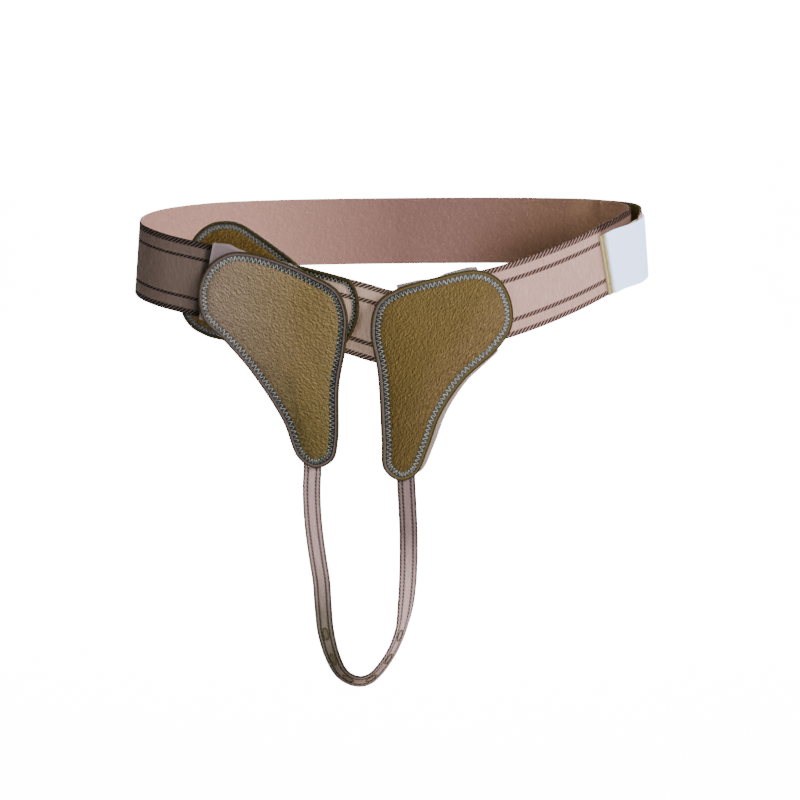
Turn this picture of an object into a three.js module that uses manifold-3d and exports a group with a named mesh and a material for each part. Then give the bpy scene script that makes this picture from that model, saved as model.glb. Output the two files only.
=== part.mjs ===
// A hernia belt: two lengths of elastic webbing closed round the waist, two leather pads hung in
// front on fabric sleeves, and a narrow strap looped under them. Millimetres, +X to the right of
// someone facing the front, +Y towards the back, +Z up. The origin is the middle of the waist
// opening at the height of the band's middle line at the back.
import * as THREE from 'three';
import { mergeVertices } from 'three/addons/utils/BufferGeometryUtils.js';
import Module from 'manifold-3d';

// Course of the band round the waist
const LOOP_HALF_WIDTH = 186;
const LOOP_BACK = 115;
const LOOP_FRONT = 86.5;
const FRONT_DROP = 41;
const WALL_FLARE = THREE.MathUtils.degToRad(5);

// Sheet sizes
const WEBBING_WIDTH = 53;
const WEBBING_THICKNESS = 2;
const LEATHER_THICKNESS = 2.4;
const BINDING_THICKNESS = 1;
const FABRIC_THICKNESS = 1;
const TAPE_THICKNESS = 1.2;
const SEAT_GAP = 0.3;
const BENT_GAP = 0.5;

// How finely curved shapes are cut up
const STATION_PITCH = 8;
const COURSE_DIVISIONS = 1200;
const STRAP_DIVISIONS = 600;
const ROUND_SHARES = [0.03, 0.1, 0.2, 0.33, 0.5, 0.75];
const CLOSEST_STATIONS = 0.2;
const BLUNT_SHARE = 0.02;
const FLAP_STEPS = 36;
const TIP_STEPS = 16;
const PAD_POINTS = 46;
const CUSHION_POINTS = 56;
const CUSHION_TOP_STEPS = 9;
const STRAP_STEPS = 76;
const BACK_REACHES = [0, 0.3, 0.55, 0.8, 1];
const FACE_REACHES = [0.93, 0.8, 0.6, 0.35, 0];
const CUSHION_REACHES = [1, 0.93, 0.75, 0.45, 0];

// Front closure: places along the band, counted from its lowest point, plus to the right
const TIP_AT = -25;
const TIP_NOSE = 16;
const BINDING_LENGTH = 50;
const BINDING_WIDTH = 4;
const BINDING_OVERHANG = 0.9;
const FRONT_BAND_START = -128;
const LAP_END = 6;
const PATCH_LENGTH = 30;
const PATCH_HEIGHT = 38;
const FLAP_MIDDLE = -110;
const FLAP_LENGTH = 104;
const FLAP_HEIGHT = 86;

// Closure at the right hip
const HIP_LAP_START = 234;
const HIP_LAP_LENGTH = 62;
const HIP_CORNER = 26;
const HIP_STAND_LENGTH = 16;
const HIP_SETTLE = { start: 4, end: 44 };
const TAB_START = 199.5;
const TAB_LENGTH = 74.5;
const TAB_RISE = 20;
const TAB_FALL = 26.8;
const TAB_STAND = 8.6;
const TAB_FLAT = 8;
const TAB_LEAD = 4;
const HOOK_SHOWS = 3.8;
const HOOK_INSIDE = 20;
const HOOK_STEP = { start: 14, end: 3 };

// Sleeves that carry the pads
const SLEEVE_LENGTH = 60;
const SLEEVE_PLAY = 0.7;
const LEFT_SLEEVE_AT = -109;
const RIGHT_SLEEVE_AT = 38.5;

// Pads
const LEFT_PAD_WIDTH = 110.7;
const LEFT_PAD_HEIGHT = 154.3;
const RIGHT_PAD_WIDTH = 104.4;
const RIGHT_PAD_HEIGHT = 149.5;
const PAD_RIM = 2.4;
const PAD_CROWN = 5.5;
const PAD_BOW = 6;
const PAD_BOW_START = 14;
const PAD_LIFT = 0.3;
const CUSHION_THICKNESS = 9;
const CUSHION_EDGE = 3.2;
const CUSHION_CLEARANCE = 3;
const RECESS_RIM = { start: 4, end: 14 };

// Strap under the pads
const STRAP_WIDTH = 13;
const STRAP_THICKNESS = 1.2;
const STRAP_DROP = 155;
const STRAP_OVERLAP = 16;
const STRAP_TWIST = THREE.MathUtils.degToRad(58);
const BUTTONHOLE_COUNT = 6;
const BUTTONHOLE_PITCH = 20.5;
const BUTTONHOLE_LENGTH = 6.5;
const BUTTONHOLE_WIDTH = 1.6;
const CUT_DEPTH = 8;

const HALF_WEBBING = WEBBING_WIDTH / 2;
const UP = new THREE.Vector3(0, 0, 1);

// The band's middle line, as shares of the loop's half width, depth and drop
const COURSE = [
  { across: 0.000, depth: -1.000, drop: 1.000 },
  { across: 0.151, depth: -0.963, drop: 0.890 },
  { across: 0.315, depth: -0.869, drop: 0.740 },
  { across: 0.462, depth: -0.700, drop: 0.628 },
  { across: 0.708, depth: -0.238, drop: 0.378 },
  { across: 0.946, depth: 0.313, drop: 0.070 },
  { across: 0.985, depth: 0.487, drop: 0.020 },
  { across: 0.969, depth: 0.670, drop: 0.000 },
  { across: 0.884, depth: 0.841, drop: 0.000 },
  { across: 0.752, depth: 0.950, drop: 0.000 },
  { across: 0.538, depth: 1.000, drop: 0.000 },
  { across: -0.049, depth: 0.968, drop: 0.000 },
  { across: -0.484, depth: 0.870, drop: 0.000 },
  { across: -0.753, depth: 0.713, drop: 0.000 },
  { across: -0.914, depth: 0.452, drop: 0.000 },
  { across: -0.984, depth: 0.174, drop: 0.000 },
  { across: -1.000, depth: -0.092, drop: 0.015 },
  { across: -0.978, depth: -0.326, drop: 0.063 },
  { across: -0.897, depth: -0.498, drop: 0.159 },
  { across: -0.699, depth: -0.650, drop: 0.329 },
  { across: -0.323, depth: -0.852, drop: 0.683 },
  { across: -0.145, depth: -0.947, drop: 0.863 },
];

const course = new THREE.CatmullRomCurve3(
  COURSE.map((row) => new THREE.Vector3(
    row.across * LOOP_HALF_WIDTH,
    row.depth * (row.depth > 0 ? LOOP_BACK : LOOP_FRONT),
    -row.drop * FRONT_DROP)),
  true, 'centripetal');
course.arcLengthDivisions = COURSE_DIVISIONS;
const LOOP_LENGTH = course.getLength();
const STATION_STEP = LOOP_LENGTH / Math.round(LOOP_LENGTH / STATION_PITCH);

// Axes of the band at a place along it: forward, up its width, and out of its face
function bandFrame(along) {
  const share = THREE.MathUtils.euclideanModulo(along / LOOP_LENGTH, 1);
  const point = course.getPointAt(share);
  const forward = course.getTangentAt(share);
  const level = new THREE.Vector3().crossVectors(forward, UP).normalize();
  const rise = new THREE.Vector3().crossVectors(level, forward).normalize();
  const [cos, sin] = [Math.cos(WALL_FLARE), Math.sin(WALL_FLARE)];
  const up = rise.clone().multiplyScalar(cos).addScaledVector(level, -sin);
  const out = level.clone().multiplyScalar(cos).addScaledVector(rise, sin);
  return { point, forward, up, out };
}

function onBand(along, height, offset) {
  const frame = bandFrame(along);
  return frame.point.addScaledVector(frame.up, height).addScaledVector(frame.out, offset);
}

// A value that passes smoothly through rows of { at, ... }, read at a place between them
function between(rows, at, key) {
  const last = rows.length - 1;
  if (at <= rows[0].at) return rows[0][key];
  if (at >= rows[last].at) return rows[last][key];
  const next = rows.findIndex((row) => row.at > at);
  const [low, high] = [rows[next - 1], rows[next]];
  return THREE.MathUtils.lerp(low[key], high[key], THREE.MathUtils.smoothstep(at, low.at, high.at));
}

// Places from one to another on steps that all sheets share, and closer where an end is rounded
function places(from, to, roundFrom = 0, roundTo = 0) {
  const found = [from, to];
  const first = Math.ceil(from / STATION_STEP) * STATION_STEP;
  for (let at = first; at < to; at += STATION_STEP) found.push(at);
  for (const share of ROUND_SHARES) {
    if (roundFrom > 0) found.push(from + roundFrom * share);
    if (roundTo > 0) found.push(to - roundTo * share);
  }
  const sorted = found.sort((a, b) => a - b);
  return sorted.filter((value, i) => i === 0 || value - sorted[i - 1] > CLOSEST_STATIONS);
}

// How far an elliptical end of some length still reaches, as a share, some way in from its tip
function roundEnd(inward, length) {
  const share = THREE.MathUtils.clamp(inward / length, BLUNT_SHARE, 1);
  return Math.sqrt(1 - (1 - share) ** 2);
}

// A sheet laid along the band, from stations that hold its place, offset and two edges
function sheet(stations, thickness) {
  const last = stations.length - 1;
  const geometry = new THREE.BoxGeometry(1, 1, 1, last, 2, 1);
  const spots = geometry.attributes.position;
  for (let i = 0; i < spots.count; i += 1) {
    const column = Math.round((spots.getX(i) + 0.5) * last);
    const station = stations[column];
    const before = stations[Math.max(column - 1, 0)];
    const after = stations[Math.min(column + 1, last)];
    const slope = Math.atan2(after.offset - before.offset, after.along - before.along);
    const side = Math.sign(spots.getZ(i)) * thickness / 2;
    const along = station.along - side * Math.sin(slope);
    const height = THREE.MathUtils.lerp(station.low, station.high, spots.getY(i) + 0.5);
    const spot = onBand(along, height, station.offset + side * Math.cos(slope));
    spots.setXYZ(i, spot.x, spot.y, spot.z);
  }
  return geometry;
}

// A geometry whose points are moved by a function of their three coordinates
function moved(geometry, move) {
  const spots = geometry.attributes.position;
  for (let i = 0; i < spots.count; i += 1) {
    const spot = move(spots.getX(i), spots.getY(i), spots.getZ(i));
    spots.setXYZ(i, spot.x, spot.y, spot.z);
  }
  return geometry;
}

// The same body with shared vertices, and with its faces turned outwards
function closed(geometry) {
  const bare = geometry.clone();
  bare.deleteAttribute('normal');
  bare.deleteAttribute('uv');
  const body = mergeVertices(bare, 1e-4);
  const spots = body.attributes.position;
  const order = body.index.array;
  const [a, b, c] = [new THREE.Vector3(), new THREE.Vector3(), new THREE.Vector3()];
  const faces = [];
  let volume = 0;
  for (let i = 0; i < order.length; i += 3) {
    const face = [order[i], order[i + 1], order[i + 2]];
    if (new Set(face).size < face.length) continue;
    faces.push(face);
    a.fromBufferAttribute(spots, face[0]);
    b.fromBufferAttribute(spots, face[1]);
    c.fromBufferAttribute(spots, face[2]);
    volume += a.dot(b.cross(c));
  }
  body.setIndex((volume < 0 ? faces.map(([i, j, k]) => [i, k, j]) : faces).flat());
  return body;
}

// Webbing

// Offset of the long band from the course: it passes outside the short band at the right hip
const HIP_LAP_END = HIP_LAP_START + HIP_LAP_LENGTH;
const UNDER_LAP = WEBBING_THICKNESS + BENT_GAP;
const MAIN_OFFSETS = [
  { at: HIP_LAP_START, offset: TAB_STAND },
  { at: HIP_LAP_START + HIP_STAND_LENGTH, offset: TAB_STAND },
  { at: HIP_LAP_END + HIP_SETTLE.start, offset: UNDER_LAP },
  { at: HIP_LAP_END + HIP_SETTLE.end, offset: 0 },
];

function mainHeights(along) {
  const nose = roundEnd(TIP_AT - along, TIP_NOSE);
  const corner = roundEnd(along + LOOP_LENGTH - HIP_LAP_START, HIP_CORNER);
  return {
    low: -HALF_WEBBING * nose,
    high: HALF_WEBBING * Math.min(nose, (1 + corner) / 2),
  };
}

function mainBand() {
  const stations = places(HIP_LAP_START - LOOP_LENGTH, TIP_AT, HIP_CORNER, TIP_NOSE);
  return sheet(stations.map((along) => ({
    along, offset: between(MAIN_OFFSETS, along + LOOP_LENGTH, 'offset'), ...mainHeights(along),
  })), WEBBING_THICKNESS);
}

// The short band lies under the long one's tip, with the hook patch between them
const PATCH_OFFSET = -(WEBBING_THICKNESS + FABRIC_THICKNESS) / 2 - SEAT_GAP;
const UNDER_TIP = 2 * PATCH_OFFSET;
const FRONT_OFFSETS = [
  { at: TIP_AT, offset: UNDER_TIP },
  { at: LAP_END, offset: 0 },
];

function frontBand() {
  return sheet(places(FRONT_BAND_START, HIP_LAP_END).map((along) => ({
    along, offset: between(FRONT_OFFSETS, along, 'offset'), low: -HALF_WEBBING, high: HALF_WEBBING,
  })), WEBBING_THICKNESS);
}

function closurePatch() {
  const end = TIP_AT - TIP_NOSE / 2;
  return sheet(places(end - PATCH_LENGTH, end).map((along) => ({
    along, offset: PATCH_OFFSET, low: -PATCH_HEIGHT / 2, high: PATCH_HEIGHT / 2,
  })), FABRIC_THICKNESS);
}

// Leather flap behind the front closure

// Edges of the flap as shares of its length and height, from its middle
const FLAP_EDGES = [
  { at: -0.482, low: -0.080, high: 0.120 },
  { at: -0.470, low: -0.220, high: 0.250 },
  { at: -0.437, low: -0.325, high: 0.352 },
  { at: -0.387, low: -0.390, high: 0.430 },
  { at: -0.323, low: -0.435, high: 0.490 },
  { at: -0.200, low: -0.465, high: 0.534 },
  { at: -0.110, low: -0.464, high: 0.524 },
  { at: -0.013, low: -0.450, high: 0.483 },
  { at: 0.178, low: -0.410, high: 0.392 },
  { at: 0.290, low: -0.375, high: 0.330 },
  { at: 0.400, low: -0.310, high: 0.260 },
  { at: 0.470, low: -0.200, high: 0.170 },
  { at: 0.500, low: -0.060, high: 0.080 },
];
const FLAP_OFFSET = UNDER_TIP - WEBBING_THICKNESS / 2 - SEAT_GAP - LEATHER_THICKNESS / 2;

function closureFlap() {
  const rows = FLAP_EDGES.map((row) => new THREE.Vector3(row.at, row.low, row.high));
  const edges = new THREE.CatmullRomCurve3(rows, false, 'centripetal');
  return sheet(edges.getPoints(FLAP_STEPS).map((spot) => ({
    along: FLAP_MIDDLE + spot.x * FLAP_LENGTH,
    offset: FLAP_OFFSET,
    low: spot.y * FLAP_HEIGHT,
    high: spot.z * FLAP_HEIGHT,
  })), LEATHER_THICKNESS);
}

// Leather edging on the long band's tip, open towards the left

function tipOutline(grow, start) {
  const nose = TIP_AT - TIP_NOSE;
  const edge = HALF_WEBBING + grow;
  const run = places(start, nose);
  const outline = run.map((along) => new THREE.Vector2(along, edge));
  for (let i = 1; i < TIP_STEPS; i += 1) {
    const turn = Math.PI * (0.5 - i / TIP_STEPS);
    outline.push(new THREE.Vector2(nose + (TIP_NOSE + grow) * Math.cos(turn), edge * Math.sin(turn)));
  }
  return [...outline, ...run.reverse().map((along) => new THREE.Vector2(along, -edge))];
}

function tipBinding() {
  const start = TIP_AT - BINDING_LENGTH;
  const outer = tipOutline(BINDING_OVERHANG, start);
  const inner = tipOutline(BINDING_OVERHANG - BINDING_WIDTH, start).reverse();
  const strip = new THREE.ExtrudeGeometry(new THREE.Shape([...outer, ...inner]), {
    depth: BINDING_THICKNESS, bevelEnabled: false,
  });
  const seat = WEBBING_THICKNESS / 2 + SEAT_GAP;
  return moved(strip, (x, y, z) => onBand(x, y, seat + z));
}

// Closure at the right hip: a white tape over hook tape, from the short band onto the long one

const TAB_END = TAB_START + TAB_LENGTH;
const ON_FRONT_BAND = WEBBING_THICKNESS / 2 + FABRIC_THICKNESS + 2 * SEAT_GAP + TAPE_THICKNESS / 2;
const ON_MAIN_BAND = (WEBBING_THICKNESS + TAPE_THICKNESS) / 2 + BENT_GAP;
const TAB_OFFSETS = [
  { at: TAB_START, offset: ON_FRONT_BAND },
  { at: TAB_START + TAB_FLAT, offset: ON_FRONT_BAND + BENT_GAP - SEAT_GAP },
  { at: HIP_LAP_START - TAB_LEAD, offset: TAB_STAND + ON_MAIN_BAND },
];

function tabOffset(along) {
  if (along < HIP_LAP_START) return between(TAB_OFFSETS, along, 'offset');
  return between(MAIN_OFFSETS, along, 'offset') + ON_MAIN_BAND;
}

function hookTab() {
  return sheet(places(TAB_START, TAB_END).map((along) => ({
    along, offset: tabOffset(along), low: -TAB_FALL, high: TAB_RISE,
  })), TAPE_THICKNESS);
}

// Under the tape in front of the long band's end, and on that band's inner face behind it
function hookLayer() {
  const under = (TAPE_THICKNESS + FABRIC_THICKNESS) / 2 + SEAT_GAP;
  const inside = ON_MAIN_BAND + (WEBBING_THICKNESS + FABRIC_THICKNESS) / 2 + SEAT_GAP;
  const step = [
    { at: HIP_LAP_START - HOOK_STEP.start, depth: under },
    { at: HIP_LAP_START - HOOK_STEP.end, depth: inside },
  ];
  const stations = places(TAB_START - HOOK_SHOWS, HIP_LAP_START + HOOK_INSIDE);
  return sheet(stations.map((along) => ({
    along,
    offset: tabOffset(along) - between(step, along, 'depth'),
    low: -TAB_FALL + SEAT_GAP,
    high: TAB_RISE - SEAT_GAP,
  })), FABRIC_THICKNESS);
}

// Sleeves

// A flat fabric tube round the band, its two layers joined above and below the webbing
function sleeve(middle) {
  const inner = { rise: HALF_WEBBING + SLEEVE_PLAY, out: WEBBING_THICKNESS / 2 + SEAT_GAP };
  const outline = (rise, out) => {
    const corners = [[-rise, -out], [0, -out], [rise, -out], [rise, out], [0, out], [-rise, out]];
    return corners.map(([x, y]) => new THREE.Vector2(x, y));
  };
  const section = new THREE.Shape(outline(inner.rise + FABRIC_THICKNESS, inner.out + FABRIC_THICKNESS));
  section.holes.push(new THREE.Path(outline(inner.rise, inner.out).reverse()));
  const run = places(middle - SLEEVE_LENGTH / 2, middle + SLEEVE_LENGTH / 2);
  const steps = run.length - 1;
  const tube = new THREE.ExtrudeGeometry(section, { depth: steps, steps, bevelEnabled: false });
  return moved(tube, (x, y, z) => onBand(run[Math.round(z)], x, y));
}

// Pads

// Outline of the left pad as shares of its width and height, from its top left corner
const LEFT_PAD_OUTLINE = [
  { across: 0.000, down: 0.180 },
  { across: 0.070, down: 0.070 },
  { across: 0.190, down: 0.010 },
  { across: 0.300, down: 0.000 },
  { across: 0.520, down: 0.030 },
  { across: 0.770, down: 0.098 },
  { across: 0.930, down: 0.163 },
  { across: 0.996, down: 0.270 },
  { across: 0.990, down: 0.420 },
  { across: 0.950, down: 0.600 },
  { across: 0.941, down: 0.860 },
  { across: 0.905, down: 0.957 },
  { across: 0.785, down: 1.000 },
  { across: 0.672, down: 0.955 },
  { across: 0.571, down: 0.780 },
  { across: 0.358, down: 0.556 },
  { across: 0.177, down: 0.418 },
  { across: 0.031, down: 0.320 },
];

// Outline of the right pad in the same way
const RIGHT_PAD_OUTLINE = [
  { across: 0.000, down: 0.270 },
  { across: 0.049, down: 0.140 },
  { across: 0.182, down: 0.077 },
  { across: 0.458, down: 0.027 },
  { across: 0.747, down: 0.000 },
  { across: 0.900, down: 0.050 },
  { across: 0.985, down: 0.160 },
  { across: 0.984, down: 0.280 },
  { across: 0.872, down: 0.389 },
  { across: 0.637, down: 0.525 },
  { across: 0.471, down: 0.688 },
  { across: 0.387, down: 0.846 },
  { across: 0.304, down: 0.972 },
  { across: 0.188, down: 1.000 },
  { across: 0.078, down: 0.940 },
  { across: 0.062, down: 0.793 },
  { across: 0.042, down: 0.473 },
];

const PAD_SEAT = WEBBING_THICKNESS / 2 + FABRIC_THICKNESS + 2 * SEAT_GAP;
const LEFT_PAD = {
  at: LEFT_SLEEVE_AT, outline: LEFT_PAD_OUTLINE, width: LEFT_PAD_WIDTH, height: LEFT_PAD_HEIGHT,
  left: -34.0, top: 28.3, wrap: 0, heart: { across: 0.60, down: 0.33 },
  cushionShift: 0, strapAcross: 0.761,
};
const RIGHT_PAD = {
  at: RIGHT_SLEEVE_AT, outline: RIGHT_PAD_OUTLINE, width: RIGHT_PAD_WIDTH, height: RIGHT_PAD_HEIGHT,
  left: -53.2, top: 33.2, wrap: 3.5, heart: { across: 0.45, down: 0.33 },
  cushionShift: 6, strapAcross: 0.238,
};

function padAxes(pad) {
  const { point, forward, out } = bandFrame(pad.at);
  const up = UP.clone().addScaledVector(out, -UP.dot(out)).normalize();
  const across = new THREE.Vector3().crossVectors(up, out);
  return { origin: point.addScaledVector(out, PAD_SEAT + PAD_LIFT), across, up, out, forward };
}

// A point of a pad, wrapped a little towards the body at its sides and bowed in at its foot
function onPad(pad, across, up, out) {
  const axes = padAxes(pad);
  const side = (across - pad.left) / pad.width * 2 - 1;
  const bowed = HALF_WEBBING + PAD_BOW_START;
  const foot = Math.max(0, -up - bowed) / (pad.height - pad.top - bowed);
  const depth = out - pad.wrap * side ** 2 * (1 - Math.min(foot, 1)) - PAD_BOW * foot ** 2;
  return axes.origin.addScaledVector(axes.across, across)
    .addScaledVector(axes.up, up).addScaledVector(axes.out, depth);
}

function padOutline(pad, count) {
  const rows = pad.outline.map((row) => new THREE.Vector3(
    pad.left + row.across * pad.width, pad.top - row.down * pad.height, 0));
  const edge = new THREE.CatmullRomCurve3(rows, true, 'centripetal');
  return edge.getSpacedPoints(count).slice(0, count).map((spot) => new THREE.Vector2(spot.x, spot.y));
}

// A body whose outline shrinks towards its heart while its height follows a turned profile
function turnedPlate(outline, heart, profile, place) {
  const rows = profile.map((row) => new THREE.Vector2(row.reach, row.height));
  const turned = new THREE.LatheGeometry(rows, outline.length);
  const spots = turned.attributes.position;
  for (let i = 0; i < spots.count; i += 1) {
    const edge = outline[Math.floor(i / profile.length) % outline.length];
    const row = profile[i % profile.length];
    const spot = place(
      THREE.MathUtils.lerp(heart.x, edge.x, row.reach),
      THREE.MathUtils.lerp(heart.y, edge.y, row.reach),
      row.height);
    spots.setXYZ(i, spot.x, spot.y, spot.z);
  }
  return turned;
}

function padFace(pad) {
  const heart = new THREE.Vector2(
    pad.left + pad.heart.across * pad.width, pad.top - pad.heart.down * pad.height);
  const profile = BACK_REACHES.map((reach) => ({ reach, height: 0 }));
  profile.push({ reach: 1, height: PAD_RIM });
  for (const reach of FACE_REACHES) {
    profile.push({ reach, height: PAD_RIM + PAD_CROWN * (1 - reach ** 2) });
  }
  return turnedPlate(padOutline(pad, PAD_POINTS), heart, profile, (x, y, z) => onPad(pad, x, y, z));
}

// The part of an outline below the sleeve, drawn in from the pad's edge and moved sideways
function cushionOutline(pad) {
  const rim = padOutline(pad, CUSHION_POINTS);
  const axes = padAxes(pad);
  const climb = axes.forward.dot(axes.up) / axes.forward.dot(axes.across);
  const drop = HALF_WEBBING + SLEEVE_PLAY + FABRIC_THICKNESS + CUSHION_CLEARANCE;
  const ceiling = (x) => climb * x - drop;
  const inset = rim.map((spot, i) => {
    const next = rim[(i + 1) % rim.length];
    const along = next.clone().sub(rim[(i + rim.length - 1) % rim.length]).normalize();
    return new THREE.Vector2(
      spot.x + along.y * CUSHION_CLEARANCE + pad.cushionShift,
      spot.y - along.x * CUSHION_CLEARANCE);
  });
  const below = inset.map((spot) => spot.y < ceiling(spot.x));
  const count = inset.length;
  const first = below.findIndex((low, i) => low && !below[(i + count - 1) % count]);
  const kept = [];
  for (let i = first; below[i % count]; i += 1) kept.push(inset[i % count]);
  const [start, finish] = [kept[kept.length - 1].x, kept[0].x];
  for (let i = 1; i < CUSHION_TOP_STEPS; i += 1) {
    const x = THREE.MathUtils.lerp(start, finish, i / CUSHION_TOP_STEPS);
    kept.push(new THREE.Vector2(x, ceiling(x)));
  }
  return kept;
}

// A cushion is let in behind the pad's foot, where the strap's end lies between the two
function padCushion(pad) {
  const outline = cushionOutline(pad);
  const heart = new THREE.Vector2();
  for (const spot of outline) heart.addScaledVector(spot, 1 / outline.length);
  heart.x = THREE.MathUtils.lerp(heart.x, pad.left + pad.heart.across * pad.width, 0.5);
  const foot = pad.top - pad.height;
  const recess = [
    { at: foot + STRAP_OVERLAP + RECESS_RIM.start, depth: STRAP_THICKNESS + BENT_GAP },
    { at: foot + STRAP_OVERLAP + RECESS_RIM.end, depth: 0 },
  ];
  const profile = BACK_REACHES.map((reach) => ({ reach, height: 0 }));
  for (const reach of CUSHION_REACHES) {
    const depth = THREE.MathUtils.lerp(CUSHION_THICKNESS, CUSHION_EDGE, reach ** 4);
    profile.push({ reach, height: -depth });
  }
  return turnedPlate(outline, heart, profile,
    (x, y, z) => onPad(pad, x, y, z - BENT_GAP - between(recess, y, 'depth')));
}

// Strap

// Route between the two pads' feet: share of the way across, share of the drop, share of the twist
const STRAP_ROUTE = [
  { across: -0.012, drop: 0.107, twist: 0.00 },
  { across: 0.003, drop: 0.265, twist: 0.00 },
  { across: 0.047, drop: 0.426, twist: 0.05 },
  { across: 0.087, drop: 0.545, twist: 0.15 },
  { across: 0.104, drop: 0.666, twist: 0.45 },
  { across: 0.131, drop: 0.787, twist: 0.85 },
  { across: 0.204, drop: 0.905, twist: 1.00 },
  { across: 0.294, drop: 0.976, twist: 0.95 },
  { across: 0.392, drop: 1.003, twist: 0.90 },
  { across: 0.485, drop: 1.008, twist: 0.85 },
  { across: 0.578, drop: 0.995, twist: 0.90 },
  { across: 0.676, drop: 0.958, twist: 0.95 },
  { across: 0.792, drop: 0.884, twist: 1.00 },
  { across: 0.888, drop: 0.799, twist: 1.00 },
  { across: 0.958, drop: 0.702, twist: 0.80 },
  { across: 0.998, drop: 0.593, twist: 0.35 },
  { across: 1.021, drop: 0.464, twist: 0.10 },
  { across: 1.028, drop: 0.334, twist: 0.00 },
  { across: 1.023, drop: 0.205, twist: 0.00 },
  { across: 1.011, drop: 0.096, twist: 0.00 },
];

function strapEnd(pad) {
  const across = pad.left + pad.strapAcross * pad.width;
  const foot = pad.top - pad.height;
  const behind = -BENT_GAP - STRAP_THICKNESS / 2;
  return [STRAP_OVERLAP, STRAP_OVERLAP / 2, 0].map((rise) => onPad(pad, across, foot + rise, behind));
}

function strapRoute() {
  const [left, right] = [strapEnd(LEFT_PAD), strapEnd(RIGHT_PAD).reverse()];
  const hang = STRAP_ROUTE.map((row) => {
    const spot = left[2].clone().lerp(right[0], row.across);
    spot.z -= row.drop * STRAP_DROP;
    return spot;
  });
  const twists = [0, 0, 0, ...STRAP_ROUTE.map((row) => row.twist), 0, 0, 0];
  return { curve: new THREE.CatmullRomCurve3([...left, ...hang, ...right], false, 'centripetal'), twists };
}

const strap = strapRoute();
strap.curve.arcLengthDivisions = STRAP_DIVISIONS;
strap.length = strap.curve.getLength();
const strapSides = [padAxes(LEFT_PAD).out, padAxes(RIGHT_PAD).out];

// Axes of the strap at a share of its length: forward, across its width and out of its face
function strapFrame(share) {
  const point = strap.curve.getPointAt(share);
  const forward = strap.curve.getTangentAt(share);
  const facing = strapSides[0].clone().lerp(strapSides[1], THREE.MathUtils.smoothstep(share, 0.1, 0.9));
  const flat = facing.addScaledVector(forward, -facing.dot(forward)).normalize();
  const outward = new THREE.Vector3().crossVectors(forward, flat);
  const spot = strap.curve.getUtoTmapping(share) * (strap.twists.length - 1);
  const row = Math.min(Math.floor(spot), strap.twists.length - 2);
  const twist = STRAP_TWIST * THREE.MathUtils.lerp(strap.twists[row], strap.twists[row + 1], spot - row);
  const out = flat.multiplyScalar(Math.cos(twist)).addScaledVector(outward, Math.sin(twist));
  const across = new THREE.Vector3().crossVectors(out, forward);
  return { point, forward, across, out };
}

function strapBlank() {
  const blank = new THREE.BoxGeometry(1, STRAP_WIDTH, STRAP_THICKNESS, STRAP_STEPS, 1, 1);
  return moved(blank, (x, y, z) => {
    const frame = strapFrame(THREE.MathUtils.clamp(x + 0.5, 0, 1));
    return frame.point.addScaledVector(frame.across, y).addScaledVector(frame.out, z);
  });
}

const wasm = await Module();
wasm.setup();

function solid(geometry) {
  const body = closed(geometry);
  return new wasm.Manifold(new wasm.Mesh({
    numProp: 3,
    vertProperties: new Float32Array(body.attributes.position.array),
    triVerts: new Uint32Array(body.index.array),
  }));
}

function groinStrap() {
  let body = solid(strapBlank());
  for (let i = 0; i < BUTTONHOLE_COUNT; i += 1) {
    const step = i - (BUTTONHOLE_COUNT - 1) / 2;
    const frame = strapFrame(0.5 + step * BUTTONHOLE_PITCH / strap.length);
    const cutter = new THREE.BoxGeometry(BUTTONHOLE_LENGTH, BUTTONHOLE_WIDTH, CUT_DEPTH);
    const seat = new THREE.Matrix4().makeBasis(frame.forward, frame.across, frame.out);
    seat.setPosition(frame.point);
    body = body.subtract(solid(cutter.applyMatrix4(seat)));
  }
  const cut = body.getMesh();
  const geometry = new THREE.BufferGeometry();
  geometry.setAttribute('position', new THREE.BufferAttribute(new Float32Array(cut.vertProperties), 3));
  geometry.setIndex(Array.from(cut.triVerts));
  return geometry;
}

// Materials and assembly

const finish = (color, roughness) => new THREE.MeshStandardMaterial({ color, roughness, metalness: 0 });
const webbing = finish('#c2a7a0', 0.9);
const leather = finish('#7d6436', 0.5);
const edging = finish('#5f4a28', 0.55);
const fabric = finish('#a28a90', 0.85);
const foam = finish('#b79a78', 0.95);
const white = finish('#dfe4ec', 0.7);
const hooks = finish('#c9b878', 0.8);

const belt = new THREE.Group();

function add(name, geometry, material) {
  const mesh = new THREE.Mesh(closed(geometry), material);
  mesh.geometry.computeVertexNormals();
  mesh.name = name;
  belt.add(mesh);
}

add('main_band', mainBand(), webbing);
add('front_band', frontBand(), webbing);
add('closure_patch', closurePatch(), hooks);
add('closure_flap', closureFlap(), edging);
add('tip_binding', tipBinding(), edging);
add('hook_tab', hookTab(), white);
add('hook_layer', hookLayer(), hooks);
add('left_pad_sleeve', sleeve(LEFT_SLEEVE_AT), fabric);
add('right_pad_sleeve', sleeve(RIGHT_SLEEVE_AT), fabric);
add('left_pad_face', padFace(LEFT_PAD), leather);
add('right_pad_face', padFace(RIGHT_PAD), leather);
add('left_pad_cushion', padCushion(LEFT_PAD), foam);
add('right_pad_cushion', padCushion(RIGHT_PAD), foam);
add('groin_strap', groinStrap(), webbing);

export default belt;
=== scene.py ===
import math

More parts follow.
